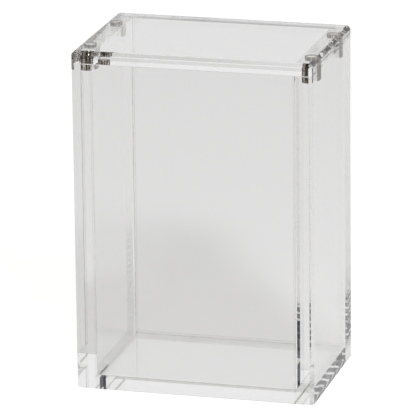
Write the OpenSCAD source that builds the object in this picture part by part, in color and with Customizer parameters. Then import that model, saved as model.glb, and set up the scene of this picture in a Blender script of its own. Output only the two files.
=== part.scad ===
// Clear display case for a boxed set of trading cards: a glued box of five
// plates with a flat loose lid, held down by four pairs of rod magnets.
// Millimetres. +Z is up and -Y is the front. The origin is the middle of the
// underside.

/* [Inner room] */
// Width between the side walls
room_w = 84; // [60:1:160]
// Depth between the front and back panels
room_d = 57.5; // [40:0.5:120]
// Height between the base plate and the lid
room_h = 132.5; // [60:0.5:220]

/* [Plates] */
// Thickness of the two side walls, which also hold the magnets
side_t = 8; // [8:0.5:14]
// Thickness of the front panel
front_t = 5; // [3:0.2:8]
// Thickness of the back panel
back_t = 5; // [3:0.2:8]
// Thickness of the base plate
base_t = 5; // [3:0.2:8]
// Thickness of the lid plate
lid_t = 5; // [4.6:0.2:8]

/* [Edges] */
// Bevel polished down the four upright edges of the box and of the lid
corner_bevel = 1.5; // [0.5:0.1:2.5]
// Bevel polished round the top of the lid
lid_bevel = 1.5; // [0.5:0.1:2]
// Bevel that just breaks the other outer edges, under the box and at the joint with the lid
edge_break = 0.1; // [0.05:0.05:0.3]

/* [Magnets] */
// Diameter of every magnet
magnet_d = 5; // [3:0.5:5.5]
// Length of a magnet in a side wall
wall_magnet_h = 5; // [2:0.5:10]
// Length of a magnet in the lid
lid_magnet_h = 3; // [1:0.25:3.5]
// Distance from the front or rear face of the box to a magnet's axis
magnet_inset = 15; // [6:0.5:20]
// Bevel on the rim of each magnet
magnet_bevel = 0.25; // [0.1:0.05:0.5]
// Radial gap between a magnet and its seat
seat_gap = 0.05; // [0.02:0.01:0.15]
// Bevel at the mouth of each seat
mouth_bevel = 0.2; // [0.1:0.05:0.4]

/* [Hidden] */
$fn = 64;

clear_plate = [0.82, 0.88, 0.9, 0.35];
nickel = [0.74, 0.73, 0.71];

LEFT = -1;
RIGHT = 1;
FRONT = -1;
REAR = 1;

// How far a cutting shape runs past the face that it opens
past = 1;

case_w = room_w + 2 * side_t;
case_d = front_t + room_d + back_t;
wall_h = base_t + room_h;

// The box is centred on its full depth, so panels of unlike thickness shift the room
room_rear = case_d / 2 - back_t;

// A rectangle centred on the origin, its corners cut at 45 degrees: the lower
// two by one bevel and the upper two by another
module bevelled_rectangle(w, h, lower, upper) {
    polygon([
        [-w / 2 + lower, -h / 2], [w / 2 - lower, -h / 2],
        [w / 2, -h / 2 + lower], [w / 2, h / 2 - upper],
        [w / 2 - upper, h / 2], [-w / 2 + upper, h / 2],
        [-w / 2, h / 2 - upper], [-w / 2, -h / 2 + lower]
    ]);
}

// A block on the ground, centred in X and Y, with all twelve edges bevelled:
// the uprights, the edges round the bottom and the edges round the top
module bevelled_block(w, d, h, upright, bottom, top) {
    intersection() {
        linear_extrude(h)
            bevelled_rectangle(w, d, upright, upright);
        translate([0, d / 2, h / 2])
            rotate([90, 0, 0])
                linear_extrude(d)
                    bevelled_rectangle(w, h, bottom, top);
        translate([-w / 2, 0, h / 2])
            rotate([90, 0, 90])
                linear_extrude(w)
                    bevelled_rectangle(d, h, bottom, top);
    }
}

// Keeps the part of a plate that lies inside the polished outside of the box,
// so that glued edges stay square and only the outer edges are bevelled
module polished() {
    intersection() {
        children();
        bevelled_block(case_w, case_d, wall_h, corner_bevel, edge_break, edge_break);
    }
}

// A rod magnet standing on the ground, with both rims bevelled
module rod_magnet(h) {
    r = magnet_d / 2;
    color(nickel)
        rotate_extrude()
            polygon([
                [0, 0], [r - magnet_bevel, 0], [r, magnet_bevel],
                [r, h - magnet_bevel], [r - magnet_bevel, h], [0, h]
            ]);
}

// The hollow of a magnet seat: its mouth is on the ground and it runs up
module magnet_seat(h) {
    r = magnet_d / 2 + seat_gap;
    rotate_extrude()
        polygon([
            [0, -past], [r + mouth_bevel + past, -past],
            [r, mouth_bevel], [r, h], [0, h]
        ]);
}

// Moves a child standing on the ground to the magnet axis of one corner,
// at the height of the joint between the walls and the lid
module at_magnet(side, end) {
    translate([side * (room_w + side_t) / 2, end * (case_d / 2 - magnet_inset), wall_h])
        children();
}

module base_plate() {
    color(clear_plate)
        polished()
            translate([-room_w / 2, -case_d / 2, 0])
                cube([room_w, case_d, base_t]);
}

// A panel glued between the side walls, standing on the base plate
module panel(y, t) {
    color(clear_plate)
        polished()
            translate([-room_w / 2, y, base_t])
                cube([room_w, t, room_h]);
}

module front_panel() {
    panel(-case_d / 2, front_t);
}

module back_panel() {
    panel(room_rear, back_t);
}

// A side wall over the full depth and height of the box, with a blind seat
// for a magnet at each end of its top edge
module side_wall(side) {
    color(clear_plate)
        difference() {
            polished()
                translate([side * (room_w + side_t) / 2 - side_t / 2, -case_d / 2, 0])
                    cube([side_t, case_d, wall_h]);
            for (end = [FRONT, REAR])
                at_magnet(side, end)
                    mirror([0, 0, 1])
                        magnet_seat(wall_magnet_h);
        }
}

module left_wall() {
    side_wall(LEFT);
}

module right_wall() {
    side_wall(RIGHT);
}

// The loose lid, with a blind seat in its underside over each wall magnet
module lid_plate() {
    color(clear_plate)
        difference() {
            translate([0, 0, wall_h])
                bevelled_block(case_w, case_d, lid_t, corner_bevel, edge_break, lid_bevel);
            for (side = [LEFT, RIGHT], end = [FRONT, REAR])
                at_magnet(side, end)
                    magnet_seat(lid_magnet_h);
        }
}

// A magnet flush with the top edge of a side wall
module wall_magnet(side, end) {
    at_magnet(side, end)
        mirror([0, 0, 1])
            rod_magnet(wall_magnet_h);
}

// A magnet flush with the underside of the lid
module lid_magnet(side, end) {
    at_magnet(side, end)
        rod_magnet(lid_magnet_h);
}

module wall_magnet_front_left() {
    wall_magnet(LEFT, FRONT);
}

module wall_magnet_front_right() {
    wall_magnet(RIGHT, FRONT);
}

module wall_magnet_rear_left() {
    wall_magnet(LEFT, REAR);
}

module wall_magnet_rear_right() {
    wall_magnet(RIGHT, REAR);
}

module lid_magnet_front_left() {
    lid_magnet(LEFT, FRONT);
}

module lid_magnet_front_right() {
    lid_magnet(RIGHT, FRONT);
}

module lid_magnet_rear_left() {
    lid_magnet(LEFT, REAR);
}

module lid_magnet_rear_right() {
    lid_magnet(RIGHT, REAR);
}

base_plate();
front_panel();
back_panel();
left_wall();
right_wall();
lid_plate();
wall_magnet_front_left();
wall_magnet_front_right();
wall_magnet_rear_left();
wall_magnet_rear_right();
lid_magnet_front_left();
lid_magnet_front_right();
lid_magnet_rear_left();
lid_magnet_rear_right();
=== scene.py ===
import math

import bmesh
import bpy
from mathutils import Matrix, Vector


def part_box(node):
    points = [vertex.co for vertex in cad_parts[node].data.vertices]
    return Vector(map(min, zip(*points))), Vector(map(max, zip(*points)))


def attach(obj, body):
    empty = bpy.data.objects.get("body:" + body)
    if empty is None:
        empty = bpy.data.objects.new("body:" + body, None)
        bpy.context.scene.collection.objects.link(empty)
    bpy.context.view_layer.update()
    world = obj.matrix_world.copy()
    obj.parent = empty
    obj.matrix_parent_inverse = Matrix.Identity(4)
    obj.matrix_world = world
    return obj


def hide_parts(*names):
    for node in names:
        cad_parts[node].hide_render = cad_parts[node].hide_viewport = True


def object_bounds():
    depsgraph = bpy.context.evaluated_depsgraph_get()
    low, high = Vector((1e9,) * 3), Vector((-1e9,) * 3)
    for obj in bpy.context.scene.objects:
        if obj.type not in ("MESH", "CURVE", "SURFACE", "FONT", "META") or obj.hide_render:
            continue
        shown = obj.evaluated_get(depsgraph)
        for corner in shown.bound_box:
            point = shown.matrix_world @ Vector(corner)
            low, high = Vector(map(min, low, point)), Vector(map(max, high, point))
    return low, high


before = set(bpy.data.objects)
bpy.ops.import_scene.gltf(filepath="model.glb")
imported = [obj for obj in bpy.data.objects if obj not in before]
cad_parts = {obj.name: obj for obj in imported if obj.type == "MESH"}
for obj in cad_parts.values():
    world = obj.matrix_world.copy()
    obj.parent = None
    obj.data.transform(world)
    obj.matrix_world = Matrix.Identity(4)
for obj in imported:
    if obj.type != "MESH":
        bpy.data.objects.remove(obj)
cad_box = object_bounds()

MM = 0.001

# Viewpoint, with the lens and the sensor in millimetres
CAMERA_AZIMUTH = math.radians(15.245)
CAMERA_ELEVATION = math.radians(16.442)
CAMERA_ROLL = math.radians(-0.634)
CAMERA_DISTANCE = 1.8234
CAMERA_TARGET = Vector((-0.00255, 0, 0.07017))
CAMERA_LENS = 384.4
CAMERA_SENSOR = 36

# Edges of the plates, with angles in degrees
CORNER_BEVEL = 1.5 * MM
LID_BEVEL = 1.5 * MM
EDGE_BREAK = 0.1 * MM
WALL_TOP_BREAK = 0.32 * MM
ARRIS = 0.2 * MM
ARRIS_STEPS = 2
ARRIS_ANGLE = 45
ARRIS_SPREAD = 16

# Clear acrylic, and how much light each kind of face lets through to the ground
ACRYLIC_IOR = 1.49
ACRYLIC_TINT = (0.979, 0.978, 0.979, 1)
LOSS_PER_METRE = 0.5
FACE_SHADOW = (0.895, 0.895, 0.89, 1)
FLAT_SHADOW = (0.96, 0.96, 0.96, 1)
EDGE_SHADOW = (0.9, 0.9, 0.9, 1)
FOOT_SHADOW = (1, 1, 1, 1)
WAVE_SIZE = 26 * MM
WAVE_HEIGHT = 0.02 * MM
EDGE_WAVE_SIZE = 12 * MM
EDGE_WAVE_HEIGHT = 0.001 * MM

# Glued joints. A ramp is written as its two ends, each a value and what it becomes. The dry rim
# shows by how much its face is seen at a slant, from 0 square on to 1 edge on.
SEAM_CLEAR = (0.975, 0.975, 0.97, 1)
SEAM_DARK = (0.7, 0.7, 0.69, 1)
SEAM_RIM = 0.6 * MM
DRY_SEAM_DARK = (0.6, 0.6, 0.6, 1)
DRY_SEAM_RIM = 0.9 * MM
RAGGED_SIZE = 3 * MM
RAGGED_WIDTH = ((0.35, 0.6), (0.65, 1.2))
RIM_SHOWS = ((0.5, 0), (0.75, 1))

# Slanting rows of painted dark reflection in the right joints near the ground. A row starts and ends
# at shares of the pitch, and the rows hide where their face is seen at a slant.
# Dark of the left joint's bubble, and of the painted reflection rows in the right joints
DARK_BUBBLE_AND_PAINTED_REFLECTION = (0.25, 0.255, 0.29, 1)
REFLECTION_ROW_PITCH = 2.9 * MM
REFLECTION_ROW_SLANT = 0.336
REFLECTION_ROW_SWAY = 0.4
REFLECTION_ROW_SWAY_SIZE = 12 * MM
REFLECTION_ROW_STARTS = ((0.24, 0), (0.32, 1))
REFLECTION_ROW_ENDS = ((0.92, 1), (1, 0))
REFLECTION_ROW_GRAIN = 0.7 * MM
REFLECTION_ROW_GRAIN_TONE = ((0.4, 0.65), (0.6, 1))
REFLECTION_ROW_BOTTOM = 6.3 * MM
REFLECTION_ROW_TOP = 25 * MM
REFLECTION_ROW_FADE = 3 * MM
REFLECTION_ROW_HIDES = ((0.45, 1), (0.6, 0))

# The single bubble in the left joint of the base plate: its front and rear ends, how far it fades
# in from each, and its top
LEFT_BUBBLE = (-24.5 * MM, -12 * MM)
LEFT_BUBBLE_FADE = (1 * MM, 3 * MM)
LEFT_BUBBLE_TOP = 3 * MM
LEFT_BUBBLE_TOP_FADE = 0.5 * MM

# Magnets and their seats. The seat's rim goes by the distance from the magnet's axis. Its dark streaks
# are a painted dark reflection on the magnet's side.
SEAT_GAP = 0.05 * MM
ROUND_SIDES = 64
SEAT_FILM_CLEAR = (0.97, 0.965, 0.955, 1)
# Painted dark reflection, laid in streaks over the magnet's side
SEAT_PAINTED_REFLECTION = (0.2, 0.165, 0.125, 1)
SEAT_PAINTED_RIM = ((1.6 * MM, 0), (2.4 * MM, 1))
SEAT_PAINTED_STREAK = 0.7 * MM
SEAT_PAINTED_STREAK_STRETCH = (1, 1, 0.06)
SEAT_PAINTED_STREAK_TONE = ((0.6, 0), (0.42, 1))
LID_FILM = 0.03 * MM
MAGNET_BEVEL = 0.25 * MM
MAGNET_BEVEL_STEPS = 3
MAGNET_SMOOTH_ANGLE = math.radians(30)
NICKEL_BRIGHT = (0.9, 0.88, 0.84, 1)
NICKEL_DULL = (0.55, 0.51, 0.46, 1)
NICKEL_CLOUD = 1.2 * MM
NICKEL_DULLNESS = ((0.45, 0), (0.7, 1))
NICKEL_ROUGHNESS = ((0.35, 0.05), (0.7, 0.22))
NICKEL_GRAIN = 0.8 * MM
NICKEL_GRAIN_HEIGHT = 0.01 * MM

# Studio, in metres and degrees. A direction is an azimuth from +X towards the rear and an elevation.
# The areas are the ceiling, the rear wall, the front wall, and three small dark flags at the left,
# the rear left and the right, each with half its width and height and half the width of its soft edge.
FLOOR_COLOUR = (0.86, 0.855, 0.85, 1)
FLOOR_SIZE = 8
FLOOR_DROP = 0.02 * MM
FLOOR_GLOW_SEEN = 0.36
FLOOR_GLOW_IN_GLASS = 0.025
ROOM_COLOUR = (0.6, 0.6, 0.6, 1)
KEY_LIGHT = {"azimuth": 302, "elevation": 36, "distance": 4, "size": 0.5, "watts": 108}
STUDIO_AREAS = (
    {"azimuth": 90, "elevation": 90, "half": (44, 44), "soft": 8, "colour": (0.3, 0.3, 0.3, 1)},
    {"azimuth": 95, "elevation": 22, "half": (52, 30), "soft": 8, "colour": (0.87, 0.87, 0.87, 1)},
    {"azimuth": 270, "elevation": 20, "half": (50, 16), "soft": 6, "colour": (0.9, 0.9, 0.9, 1)},
    {"azimuth": 194, "elevation": 18, "half": (5, 4), "soft": 1.5, "colour": (0.13, 0.15, 0.18, 1)},
    {"azimuth": 149.7, "elevation": 21, "half": (2, 2), "soft": 1, "colour": (0.1, 0.1, 0.11, 1)},
    {"azimuth": 16.7, "elevation": 18.7, "half": (4, 4), "soft": 1.5, "colour": (0.09, 0.085, 0.09, 1)},
)

# How near counts as the same place, and the least cosine at which a face looks along an axis
NEAR = 0.01 * MM
FACING = 0.9

CORNERS = ("front_left", "front_right", "rear_left", "rear_right")

case_low, case_high = cad_box
wall_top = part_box("left_wall")[1].z
room_low = Vector((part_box("left_wall")[1].x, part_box("front_panel")[1].y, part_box("base_plate")[1].z))
room_high = Vector((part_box("right_wall")[0].x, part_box("back_panel")[0].y, wall_top))


def deselect():
    """Leaves edit mode and deselects everything."""
    if bpy.context.mode != "OBJECT":
        bpy.ops.object.mode_set(mode="OBJECT")
    bpy.ops.object.select_all(action="DESELECT")


def pick(piece):
    """Selects the piece alone, for the operators that act on what is selected."""
    deselect()
    piece.select_set(True)
    bpy.context.view_layer.objects.active = piece


def keep_place_in_mesh(piece):
    """Moves the piece's place, turn and size into its mesh, so that its object sits at the origin."""
    pick(piece)
    bpy.ops.object.transform_apply(location=True, rotation=True, scale=True)


def edit_picking(piece, edges=None, faces=None):
    """Opens the piece in edit mode with only the edges or faces that pass the test selected."""
    pick(piece)
    bpy.ops.object.mode_set(mode="EDIT")
    bpy.ops.mesh.select_mode(type="EDGE" if edges else "FACE")
    bpy.ops.mesh.select_all(action="DESELECT")
    mesh = bmesh.from_edit_mesh(piece.data)
    if edges:
        for edge in mesh.edges:
            edge.select_set(edges(edge))
    else:
        for face in mesh.faces:
            face.select_set(faces(face))
    mesh.select_flush_mode()
    bmesh.update_edit_mesh(piece.data)


def block(name, low, high):
    """A plain cuboid between two corners, which the plate functions then finish."""
    deselect()
    bpy.ops.mesh.primitive_cube_add(size=1, location=(low + high) / 2, scale=high - low)
    piece = bpy.context.object
    piece.name = name
    keep_place_in_mesh(piece)
    return piece


def rod(name, radius, low, high, x, y):
    """A plain upright rod between two heights."""
    deselect()
    bpy.ops.mesh.primitive_cylinder_add(
        vertices=ROUND_SIDES, radius=radius, depth=abs(high - low), location=(x, y, (low + high) / 2))
    piece = bpy.context.object
    piece.name = name
    keep_place_in_mesh(piece)
    return piece


def bevel_edges(piece, test, width, segments):
    """Bevels the edges that pass the test, the rounder the more segments there are."""
    edit_picking(piece, edges=test)
    bpy.ops.mesh.bevel(offset_type="OFFSET", offset=width, segments=segments, affect="EDGES")
    bpy.ops.object.mode_set(mode="OBJECT")


def edge_planes(low, high, upright, bottom, top):
    """The planes that cut the bevels of a block: a point and an outward normal for each of its edges.
    The bevel round the top is given for the left and right edges and for the front and rear ones."""
    centre = (low + high) / 2
    half = (high - low) / 2
    planes = []
    for first, second in ((0, 1), (0, 2), (1, 2)):
        for first_sign in (-1, 1):
            for second_sign in (-1, 1):
                width = upright if second == 1 else (top[first] if second_sign > 0 else bottom)
                normal = Vector((0, 0, 0))
                normal[first] = first_sign
                normal[second] = second_sign
                edge = centre + Vector([half[axis] * normal[axis] for axis in range(3)])
                edge[first] -= first_sign * width
                planes.append((edge, normal.normalized()))
    return planes


def cut_bevels(piece, planes):
    """Cuts each bevel that crosses the piece and closes it with a flat face, as an edge cutter does."""
    for point, normal in planes:
        reach = max((vertex.co - point).dot(normal) for vertex in piece.data.vertices)
        if reach > NEAR / 10:
            edit_picking(piece, faces=lambda face: True)
            bpy.ops.mesh.bisect(plane_co=point, plane_no=normal, use_fill=True, clear_outer=True)
            bpy.ops.object.mode_set(mode="OBJECT")


def soften_arrises(piece, above):
    """Rounds the sharp lines that the edge cutter leaves where a bevel meets a face."""

    def is_arris(edge):
        if min(vertex.co.z for vertex in edge.verts) < above or len(edge.link_faces) != 2:
            return False
        return abs(math.degrees(edge.calc_face_angle()) - ARRIS_ANGLE) < ARRIS_SPREAD

    bevel_edges(piece, is_arris, ARRIS, ARRIS_STEPS)


def cut_plane(piece, point, normal):
    """Divides every face of the piece along a plane, so that each side can take its own material."""
    edit_picking(piece, faces=lambda face: True)
    bpy.ops.mesh.bisect(plane_co=point, plane_no=normal)
    bpy.ops.object.mode_set(mode="OBJECT")


def magnet_seat(piece, magnet, direction):
    """Drills a blind round seat for a magnet, from its mouth along direction (+1 up, -1 down)."""
    low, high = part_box(magnet)
    radius = (high.x - low.x) / 2 + SEAT_GAP
    centre = (low + high) / 2
    mouth = low.z if direction > 0 else high.z
    past = 1 * MM
    end = mouth + (high.z - low.z) * direction
    bit = rod("drill-bit", radius, mouth - past * direction, end, centre.x, centre.y)
    cut = piece.modifiers.new("seat", "BOOLEAN")
    cut.operation = "DIFFERENCE"
    cut.solver = "EXACT"
    cut.object = bit
    pick(piece)
    bpy.ops.object.modifier_apply(modifier=cut.name)
    bpy.data.objects.remove(bit)


def new_material(name):
    """An empty material, with its nodes, its links and its output."""
    material = bpy.data.materials.new(name)
    material.use_nodes = True
    nodes = material.node_tree.nodes
    nodes.clear()
    output = nodes.new("ShaderNodeOutputMaterial")
    return material, nodes, material.node_tree.links, output


def noise(nodes, links, place, size, detail, stretch=(1, 1, 1)):
    """A cloud pattern fixed to the piece; stretch lengthens it along an axis where it is below 1."""
    mapping = nodes.new("ShaderNodeMapping")
    mapping.inputs["Scale"].default_value = stretch
    links.new(place, mapping.inputs["Vector"])
    cloud = nodes.new("ShaderNodeTexNoise")
    cloud.inputs["Scale"].default_value = 1 / size
    cloud.inputs["Detail"].default_value = detail
    links.new(mapping.outputs["Vector"], cloud.inputs["Vector"])
    return cloud.outputs["Fac"]


def ramp(nodes, links, value, start, end, interpolation="LINEAR"):
    """Maps a value from one range to another and holds it there. Each end is a value and what it
    becomes."""
    span = nodes.new("ShaderNodeMapRange")
    span.interpolation_type = interpolation
    span.inputs["From Min"].default_value = start[0]
    span.inputs["From Max"].default_value = end[0]
    span.inputs["To Min"].default_value = start[1]
    span.inputs["To Max"].default_value = end[1]
    links.new(value, span.inputs["Value"])
    return span.outputs["Result"]


def feed(links, values, sockets):
    """Gives each socket its value: a link to another node's output, or a plain number or colour."""
    for value, socket in zip(values, sockets):
        if isinstance(value, bpy.types.NodeSocket):
            links.new(value, socket)
        else:
            socket.default_value = value


def math_node(nodes, links, operation, *values):
    """A sum on the outputs of nodes and on plain numbers."""
    node = nodes.new("ShaderNodeMath")
    node.operation = operation
    feed(links, values, node.inputs)
    return node.outputs[0]


def product(nodes, links, first, *others):
    """Multiplies the values, one after another."""
    for other in others:
        first = math_node(nodes, links, "MULTIPLY", first, other)
    return first


def mix_colours(nodes, links, amount, first, second):
    """Goes from the first colour to the second as the amount goes from 0 to 1."""
    blend = nodes.new("ShaderNodeMixRGB")
    feed(links, (amount, first, second), blend.inputs)
    return blend.outputs[0]


def mix_shaders(nodes, links, amount, first, second):
    """Goes from the first shader to the second as the amount goes from 0 to 1."""
    mix = nodes.new("ShaderNodeMixShader")
    feed(links, (amount, first, second), mix.inputs)
    return mix.outputs["Shader"]


def see_through(nodes, links, colour):
    """Lets light straight through and tints it, by one colour or by a pattern."""
    shader = nodes.new("ShaderNodeBsdfTransparent")
    feed(links, [colour], [shader.inputs["Color"]])
    return shader.outputs["BSDF"]


def raise_skin(nodes, links, shader, height, distance):
    """Lays a relief of the given height on a shader."""
    bump = nodes.new("ShaderNodeBump")
    bump.inputs["Strength"].default_value = 1
    bump.inputs["Distance"].default_value = distance
    links.new(height, bump.inputs["Height"])
    links.new(bump.outputs["Normal"], shader.inputs["Normal"])


def slant_of_view(nodes):
    """0 where a face is seen square on and near 1 where it is seen edge on."""
    weight = nodes.new("ShaderNodeLayerWeight")
    weight.inputs["Blend"].default_value = 0.5
    return weight.outputs["Facing"]


def place_on_piece(nodes, links):
    """The place on the piece, whole and as X, Y and Z."""
    place = nodes.new("ShaderNodeTexCoord").outputs["Object"]
    split = nodes.new("ShaderNodeSeparateXYZ")
    links.new(place, split.inputs[0])
    return place, split.outputs


def clear_acrylic(name, shadow, wave_size, wave_height):
    """Cast acrylic with a faintly wavy face, which takes up a little light over the long ways
    round inside it."""
    material, nodes, links, output = new_material(name)
    place = nodes.new("ShaderNodeTexCoord").outputs["Object"]
    shader = nodes.new("ShaderNodeBsdfPrincipled")
    shader.inputs["Base Color"].default_value = ACRYLIC_TINT
    shader.inputs["Transmission Weight"].default_value = 1
    shader.inputs["Roughness"].default_value = 0
    shader.inputs["IOR"].default_value = ACRYLIC_IOR
    raise_skin(nodes, links, shader, noise(nodes, links, place, wave_size, 1), wave_height)
    path = nodes.new("ShaderNodeLightPath")
    inside = nodes.new("ShaderNodeNewGeometry").outputs["Backfacing"]
    way = product(nodes, links, path.outputs["Ray Length"], inside, -LOSS_PER_METRE)
    kept = math_node(nodes, links, "EXPONENT", way)
    taken_up = see_through(nodes, links, (0, 0, 0, 1))
    body = mix_shaders(nodes, links, kept, taken_up, shader.outputs["BSDF"])
    to_ground = see_through(nodes, links, shadow)
    surface = mix_shaders(nodes, links, path.outputs["Is Shadow Ray"], body, to_ground)
    links.new(surface, output.inputs["Surface"])
    return material


def painted_reflection_rows(nodes, links, place, split):
    """Slanting rows of painted dark reflection in the right joints, near the ground."""
    slant = math_node(nodes, links, "MULTIPLY", split[1], REFLECTION_ROW_SLANT)
    way = math_node(nodes, links, "ADD", split[2], slant)
    row = math_node(nodes, links, "DIVIDE", way, REFLECTION_ROW_PITCH)
    sway = product(nodes, links, noise(nodes, links, place, REFLECTION_ROW_SWAY_SIZE, 1), REFLECTION_ROW_SWAY)
    row = math_node(nodes, links, "FRACT", math_node(nodes, links, "ADD", row, sway))
    start = ramp(nodes, links, row, *REFLECTION_ROW_STARTS)
    end = ramp(nodes, links, row, *REFLECTION_ROW_ENDS)
    below = ramp(nodes, links, split[2], (REFLECTION_ROW_TOP, 1), (REFLECTION_ROW_TOP + REFLECTION_ROW_FADE, 0))
    grain = ramp(nodes, links, noise(nodes, links, place, REFLECTION_ROW_GRAIN, 2), *REFLECTION_ROW_GRAIN_TONE)
    # The painted rows lie above the base plate, and lower down only in front of the back panel
    above_base = math_node(nodes, links, "GREATER_THAN", split[2], REFLECTION_ROW_BOTTOM)
    before_back = math_node(nodes, links, "LESS_THAN", split[1], room_high.y)
    dry = math_node(nodes, links, "MAXIMUM", above_base, before_back)
    square = ramp(nodes, links, slant_of_view(nodes), *REFLECTION_ROW_HIDES)
    return product(nodes, links, start, end, below, dry, square, grain)


def single_bubble(nodes, links, place, split):
    """One long flat bubble in the left joint of the base plate."""
    first, last = LEFT_BUBBLE
    start = ramp(nodes, links, split[1], (first, 0), (first + LEFT_BUBBLE_FADE[0], 1))
    end = ramp(nodes, links, split[1], (last - LEFT_BUBBLE_FADE[1], 1), (last, 0))
    full = LEFT_BUBBLE_TOP - LEFT_BUBBLE_TOP_FADE
    below = ramp(nodes, links, split[2], (full, 1), (LEFT_BUBBLE_TOP, 0))
    return product(nodes, links, start, end, below)


def glued_seam(name, axis, start, end, rim, dark, dark_pattern=None):
    """Solvent-welded joint: clear in its middle, with darker dry rims along its two long edges,
    and darkened where a pattern gives: a flat bubble in the left base joint, rows of painted reflection
    in the right joints."""
    material, nodes, links, output = new_material(name)
    place, split = place_on_piece(nodes, links)
    along = math_node(nodes, links, "ABSOLUTE", split[axis])
    from_inside = math_node(nodes, links, "SUBTRACT", along, start)
    from_outside = math_node(nodes, links, "SUBTRACT", end, along)
    ragged = ramp(nodes, links, noise(nodes, links, place, RAGGED_SIZE, 3), *RAGGED_WIDTH)
    inner_rim = math_node(nodes, links, "MULTIPLY", ragged, rim)
    inner = math_node(nodes, links, "LESS_THAN", from_inside, inner_rim)
    outer = math_node(nodes, links, "LESS_THAN", from_outside, SEAM_RIM / 2)
    slanting = ramp(nodes, links, slant_of_view(nodes), *RIM_SHOWS)
    dry = product(nodes, links, math_node(nodes, links, "MAXIMUM", inner, outer), slanting)
    colour = mix_colours(nodes, links, dry, SEAM_CLEAR, dark)
    if dark_pattern:
        # Darkens by the pattern: the left joint's bubble, and the right joints' painted reflection rows
        colour = mix_colours(nodes, links, dark_pattern(nodes, links, place, split), colour, DARK_BUBBLE_AND_PAINTED_REFLECTION)
    links.new(see_through(nodes, links, colour), output.inputs["Surface"])
    return material


def seat_film_and_painted_reflection():
    """The hair gap between a magnet and its seat: clear over the magnet's end, and streaked along
    the drilled wall with traces of the bit, darkened there as a painted reflection of the magnet's side."""
    material, nodes, links, output = new_material("seat_film_and_painted_reflection")
    place, split = place_on_piece(nodes, links)
    low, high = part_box("wall_magnet_rear_right")
    axis = (low + high) / 2
    squares = []
    for index in (0, 1):
        off = math_node(nodes, links, "ABSOLUTE", split[index])
        off = math_node(nodes, links, "SUBTRACT", off, axis[index])
        squares.append(math_node(nodes, links, "MULTIPLY", off, off))
    radius = math_node(nodes, links, "SQRT", math_node(nodes, links, "ADD", *squares))
    rim = ramp(nodes, links, radius, *SEAT_PAINTED_RIM)
    painted_streaks = noise(nodes, links, place, SEAT_PAINTED_STREAK, 2, SEAT_PAINTED_STREAK_STRETCH)
    painted_streaks = ramp(nodes, links, painted_streaks, *SEAT_PAINTED_STREAK_TONE)
    # Painted dark reflection: the seat's wall and rim darken in streaks over the magnet's side
    dark = math_node(nodes, links, "MULTIPLY", rim, painted_streaks)
    colour = mix_colours(nodes, links, dark, SEAT_FILM_CLEAR, SEAT_PAINTED_REFLECTION)
    links.new(see_through(nodes, links, colour), output.inputs["Surface"])
    return material


def nickel_plating():
    """Bright nickel with duller clouds and a faintly uneven skin."""
    material, nodes, links, output = new_material("nickel_plating")
    place = nodes.new("ShaderNodeTexCoord").outputs["Object"]
    clouds = noise(nodes, links, place, NICKEL_CLOUD, 3)
    shader = nodes.new("ShaderNodeBsdfPrincipled")
    shader.inputs["Metallic"].default_value = 1
    dullness = ramp(nodes, links, clouds, *NICKEL_DULLNESS)
    tone = mix_colours(nodes, links, dullness, NICKEL_BRIGHT, NICKEL_DULL)
    links.new(tone, shader.inputs["Base Color"])
    links.new(ramp(nodes, links, clouds, *NICKEL_ROUGHNESS), shader.inputs["Roughness"])
    grain = noise(nodes, links, place, NICKEL_GRAIN, 2)
    raise_skin(nodes, links, shader, grain, NICKEL_GRAIN_HEIGHT)
    links.new(shader.outputs["BSDF"], output.inputs["Surface"])
    return material


ACRYLIC = clear_acrylic("clear_acrylic", FACE_SHADOW, WAVE_SIZE, WAVE_HEIGHT)
FLAT_ACRYLIC = clear_acrylic("clear_acrylic_flat", FLAT_SHADOW, WAVE_SIZE, WAVE_HEIGHT)
FOOT = clear_acrylic("polished_foot", FOOT_SHADOW, EDGE_WAVE_SIZE, EDGE_WAVE_HEIGHT)
EDGE = clear_acrylic("polished_edge", EDGE_SHADOW, EDGE_WAVE_SIZE, EDGE_WAVE_HEIGHT)
PANEL_SEAM = glued_seam("panel_seam", 1, room_high.y, case_high.y, SEAM_RIM, SEAM_DARK)
DRY_SEAM = glued_seam("dry_seam", 1, room_high.y, case_high.y, DRY_SEAM_RIM, DRY_SEAM_DARK)
LEFT_BASE_SEAM = glued_seam(
    "left_base_seam", 2, case_low.z, room_low.z, SEAM_RIM, SEAM_DARK, single_bubble)
# The right joints take rows of painted dark reflection
RIGHT_BASE_SEAM = glued_seam(
    "right_base_seam", 2, case_low.z, room_low.z, SEAM_RIM, SEAM_DARK, painted_reflection_rows)
RIGHT_REAR_SEAM = glued_seam(
    "right_rear_seam", 1, room_high.y, case_high.y, SEAM_RIM, SEAM_DARK, painted_reflection_rows)
SEAT_FILM_AND_PAINTED_REFLECTION = seat_film_and_painted_reflection()
NICKEL = nickel_plating()

PLATE_FINISHES = (
    ACRYLIC, FLAT_ACRYLIC, EDGE, FOOT, SEAT_FILM_AND_PAINTED_REFLECTION, PANEL_SEAM, DRY_SEAM,
    LEFT_BASE_SEAM, RIGHT_BASE_SEAM, RIGHT_REAR_SEAM,
)


def is_glued(centre, normal):
    """True where a face lies on the joint between two glued plates."""
    past_room = centre.y < room_low.y or centre.y > room_high.y
    if abs(normal.x) > FACING:
        on_side = min(abs(centre.x - room_low.x), abs(centre.x - room_high.x)) < NEAR
        return on_side and (past_room or centre.z < room_low.z)
    if abs(normal.z) > FACING:
        within = room_low.x < centre.x < room_high.x
        return abs(centre.z - room_low.z) < NEAR and past_room and within
    return False


def seam_finish(centre, normal):
    """How the joint at this place took the solvent."""
    if abs(normal.x) < FACING:
        return PANEL_SEAM
    if centre.z < room_low.z:
        return LEFT_BASE_SEAM if centre.x < 0 else RIGHT_BASE_SEAM
    if centre.y < room_high.y:
        return PANEL_SEAM
    return DRY_SEAM if centre.x < 0 else RIGHT_REAR_SEAM


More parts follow.
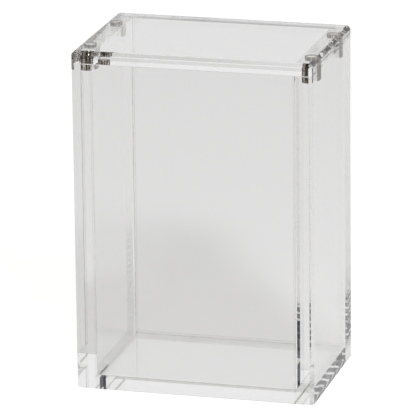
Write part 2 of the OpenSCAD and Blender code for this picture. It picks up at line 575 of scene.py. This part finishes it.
def is_foot(centre, normal):
    """True under the rim of the box, where the upright plates lead the light down to the ground."""
    past_room = centre.y < room_low.y or centre.y > room_high.y or abs(centre.x) > room_high.x
    return normal.z < -FACING and centre.z < EDGE_BREAK and past_room


def in_seat(centre, magnets):
    """True where a face is the wall or the end of a magnet's seat."""
    for magnet in magnets:
        low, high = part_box(magnet)
        middle = (low + high) / 2
        across = Vector((centre.x - middle.x, centre.y - middle.y)).length
        tall = low.z - 2 * SEAT_GAP < centre.z < high.z + 2 * SEAT_GAP
        if across < (high.x - low.x) / 2 + 2 * SEAT_GAP and tall:
            return True
    return False


def finish_plate(piece, node, seats):
    """Gives each face of a plate its finish, by where it is and which way it looks."""
    low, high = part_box(node)
    spans = high - low
    thin_axis = min(range(3), key=lambda axis: spans[axis])
    piece.data.materials.clear()
    for finish in PLATE_FINISHES:
        piece.data.materials.append(finish)
    for face in piece.data.polygons:
        centre = face.center
        normal = face.normal
        if in_seat(centre, seats):
            finish = SEAT_FILM_AND_PAINTED_REFLECTION
        elif is_glued(centre, normal):
            finish = seam_finish(centre, normal)
        elif is_foot(centre, normal):
            finish = FOOT
        elif abs(normal[thin_axis]) > FACING:
            finish = FLAT_ACRYLIC if thin_axis == 2 else ACRYLIC
        else:
            finish = EDGE
        face.material_index = PLATE_FINISHES.index(finish)
    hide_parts(node)


def cut_plate(node, seats=()):
    """One plate of the box: square where it is glued, bevelled where it is on the outside."""
    low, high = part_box(node)
    piece = block(node.replace("_", "-"), low, high)
    box_high = Vector((case_high.x, case_high.y, wall_top))
    top = (EDGE_BREAK, WALL_TOP_BREAK)
    cut_bevels(piece, edge_planes(case_low, box_high, CORNER_BEVEL, EDGE_BREAK, top))
    for point, normal in (
        ((0, room_low.y, 0), (0, 1, 0)),
        ((0, room_high.y, 0), (0, 1, 0)),
        ((0, 0, room_low.z), (0, 0, 1)),
    ):
        cut_plane(piece, point, normal)
    for magnet in seats:
        magnet_seat(piece, magnet, -1)
    return piece


def copy_of(piece, name, move=(0, 0, 0), turn=0):
    """A second piece of the same shape with its own mesh, turned about the middle and moved."""
    pick(piece)
    bpy.ops.object.duplicate()
    second = bpy.context.object
    second.name = name
    second.rotation_euler = (0, 0, turn)
    second.location = move
    keep_place_in_mesh(second)
    return second


def glued_box():
    """The five glued plates. The rear panel and the right wall are the front panel and the left wall
    turned half round."""
    left_seats = ["wall_magnet_front_left", "wall_magnet_rear_left"]
    right_seats = ["wall_magnet_front_right", "wall_magnet_rear_right"]
    base = cut_plate("base_plate")
    front = cut_plate("front_panel")
    left = cut_plate("left_wall", left_seats)
    back = copy_of(front, "back-panel", turn=math.pi)
    right = copy_of(left, "right-wall", turn=math.pi)
    for plate, node, seats in (
        (base, "base_plate", ()),
        (front, "front_panel", ()),
        (back, "back_panel", ()),
        (left, "left_wall", left_seats),
        (right, "right_wall", right_seats),
    ):
        finish_plate(plate, node, seats)
        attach(plate, "case")


def lid():
    """The loose plate on top, bevelled round its top, with a seat over each wall magnet."""
    low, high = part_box("lid_plate")
    low = low + Vector((0, 0, LID_FILM))
    piece = block("lid-plate", low, high)
    top = (LID_BEVEL, LID_BEVEL)
    cut_bevels(piece, edge_planes(low, high, CORNER_BEVEL, EDGE_BREAK, top))
    soften_arrises(piece, low.z + EDGE_BREAK * 2)
    seats = ["lid_magnet_" + corner for corner in CORNERS]
    for magnet in seats:
        magnet_seat(piece, magnet, 1)
    finish_plate(piece, "lid_plate", seats)
    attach(piece, "lid")


def rod_magnet(node):
    """A plated rod with rounded rims, standing where the node is."""
    low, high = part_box(node)
    centre = (low + high) / 2
    piece = rod(node.replace("_", "-"), (high.x - low.x) / 2, low.z, high.z, centre.x, centre.y)

    def is_rim(edge):
        return abs(edge.verts[0].co.z - edge.verts[1].co.z) < NEAR

    bevel_edges(piece, is_rim, MAGNET_BEVEL, MAGNET_BEVEL_STEPS)
    piece.data.materials.append(NICKEL)
    pick(piece)
    bpy.ops.object.shade_smooth_by_angle(angle=MAGNET_SMOOTH_ANGLE)
    return piece


def magnets(row, body):
    """The four magnets of the walls or of the lid: one is made and the others are copied from it."""
    nodes = [row + "_magnet_" + corner for corner in CORNERS]
    first = rod_magnet(nodes[0])
    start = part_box(nodes[0])[0]
    pieces = [first]
    for node in nodes[1:]:
        pieces.append(copy_of(first, node.replace("_", "-"), move=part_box(node)[0] - start))
    for piece, node in zip(pieces, nodes):
        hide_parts(node)
        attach(piece, body)


def heading(azimuth, elevation):
    """The direction towards a place in the studio, given in degrees."""
    azimuth = math.radians(azimuth)
    elevation = math.radians(elevation)
    level = math.cos(elevation)
    return Vector((level * math.cos(azimuth), level * math.sin(azimuth), math.sin(elevation)))


def floor():
    """White by its own glow to the camera and in the glass, over a diffuse colour that takes the
    shadow."""
    deselect()
    bpy.ops.mesh.primitive_plane_add(size=FLOOR_SIZE, location=(0, 0, case_low.z - FLOOR_DROP))
    ground = bpy.context.object
    ground.name = "floor"
    keep_place_in_mesh(ground)
    material, nodes, links, output = new_material("floor")
    seen_by = nodes.new("ShaderNodeLightPath").outputs
    seen = product(nodes, links, seen_by["Is Camera Ray"], FLOOR_GLOW_SEEN)
    in_glass = math_node(
        nodes, links, "MAXIMUM", seen_by["Is Transmission Ray"], seen_by["Is Glossy Ray"])
    strength = math_node(nodes, links, "MULTIPLY_ADD", in_glass, FLOOR_GLOW_IN_GLASS, seen)
    glow = nodes.new("ShaderNodeEmission")
    links.new(strength, glow.inputs["Strength"])
    diffuse = nodes.new("ShaderNodeBsdfDiffuse")
    diffuse.inputs["Color"].default_value = FLOOR_COLOUR
    both = nodes.new("ShaderNodeAddShader")
    links.new(diffuse.outputs["BSDF"], both.inputs[0])
    links.new(glow.outputs["Emission"], both.inputs[1])
    links.new(both.outputs["Shader"], output.inputs["Surface"])
    ground.data.materials.append(material)


def area_mask(nodes, links, direction, area):
    """1 inside a rectangle of the studio's walls, fading to 0 over its soft edge."""
    centre = heading(area["azimuth"], area["elevation"])
    across = heading(area["azimuth"] + 90, 0)
    up = across.cross(centre) * -1

    def along(axis):
        dot = nodes.new("ShaderNodeVectorMath")
        dot.operation = "DOT_PRODUCT"
        links.new(direction, dot.inputs[0])
        dot.inputs[1].default_value = axis
        return dot.outputs["Value"]

    masks = []
    for axis, half in zip((across, up), area["half"]):
        angle = math_node(nodes, links, "ARCTAN2", along(axis), along(centre))
        size = math_node(nodes, links, "ABSOLUTE", angle)
        outside = math.radians(half + area["soft"])
        inside = math.radians(half - area["soft"])
        masks.append(ramp(nodes, links, size, (outside, 0), (inside, 1), "SMOOTHSTEP"))
    return product(nodes, links, *masks)


def room_light():
    """White to the camera. For every other ray it is a pale room with bright walls at the rear and
    the front, a darker ceiling and three small dark flags."""
    world = bpy.data.worlds.new("studio")
    bpy.context.scene.world = world
    world.use_nodes = True
    world.cycles.sampling_method = "NONE"
    nodes = world.node_tree.nodes
    links = world.node_tree.links
    nodes.clear()
    direction = nodes.new("ShaderNodeTexCoord").outputs["Generated"]
    colour = ROOM_COLOUR
    for area in STUDIO_AREAS:
        mask = area_mask(nodes, links, direction, area)
        colour = mix_colours(nodes, links, mask, colour, area["colour"])
    room = nodes.new("ShaderNodeBackground")
    links.new(colour, room.inputs["Color"])
    white = nodes.new("ShaderNodeBackground")
    white.inputs["Color"].default_value = (1, 1, 1, 1)
    to_camera = nodes.new("ShaderNodeLightPath").outputs["Is Camera Ray"]
    surface = mix_shaders(
        nodes, links, to_camera, room.outputs["Background"], white.outputs["Background"])
    output = nodes.new("ShaderNodeOutputWorld")
    links.new(surface, output.inputs["Surface"])


def key_light():
    """A small soft lamp at the front right, which throws the case's pale shadow behind it."""
    deselect()
    spot = heading(KEY_LIGHT["azimuth"], KEY_LIGHT["elevation"]) * KEY_LIGHT["distance"]
    bpy.ops.object.light_add(type="AREA", location=spot)
    lamp = bpy.context.object
    lamp.name = "key-light"
    lamp.data.size = KEY_LIGHT["size"]
    lamp.data.energy = KEY_LIGHT["watts"]
    lamp.data.cycles.use_multiple_importance_sampling = False
    lamp.rotation_euler = (-spot).to_track_quat("-Z", "Y").to_euler()


def camera():
    """Looks at the case from its front right and a little above."""
    back = Vector((
        math.sin(CAMERA_AZIMUTH) * math.cos(CAMERA_ELEVATION),
        -math.cos(CAMERA_AZIMUTH) * math.cos(CAMERA_ELEVATION),
        math.sin(CAMERA_ELEVATION),
    ))
    data = bpy.data.cameras.new("camera")
    data.sensor_width = CAMERA_SENSOR
    data.lens = CAMERA_LENS
    eye = bpy.data.objects.new("camera", data)
    bpy.context.scene.collection.objects.link(eye)
    turned = (
        Matrix.Rotation(CAMERA_AZIMUTH, 4, "Z")
        @ Matrix.Rotation(math.pi / 2 - CAMERA_ELEVATION, 4, "X")
        @ Matrix.Rotation(CAMERA_ROLL, 4, "Z")
    )
    eye.matrix_world = Matrix.Translation(CAMERA_TARGET + back * CAMERA_DISTANCE) @ turned
    bpy.context.scene.camera = eye


glued_box()
lid()
magnets("wall", "case")
magnets("lid", "lid")
floor()
room_light()
key_light()
camera()

# Light turns many times inside the plates, so the rays are followed further than by default
scene = bpy.context.scene
scene.view_settings.view_transform = "Standard"
scene.cycles.blur_glossy = 0
scene.cycles.max_bounces = 32
scene.cycles.transmission_bounces = 32
scene.cycles.glossy_bounces = 24
scene.cycles.transparent_max_bounces = 64

deselect()
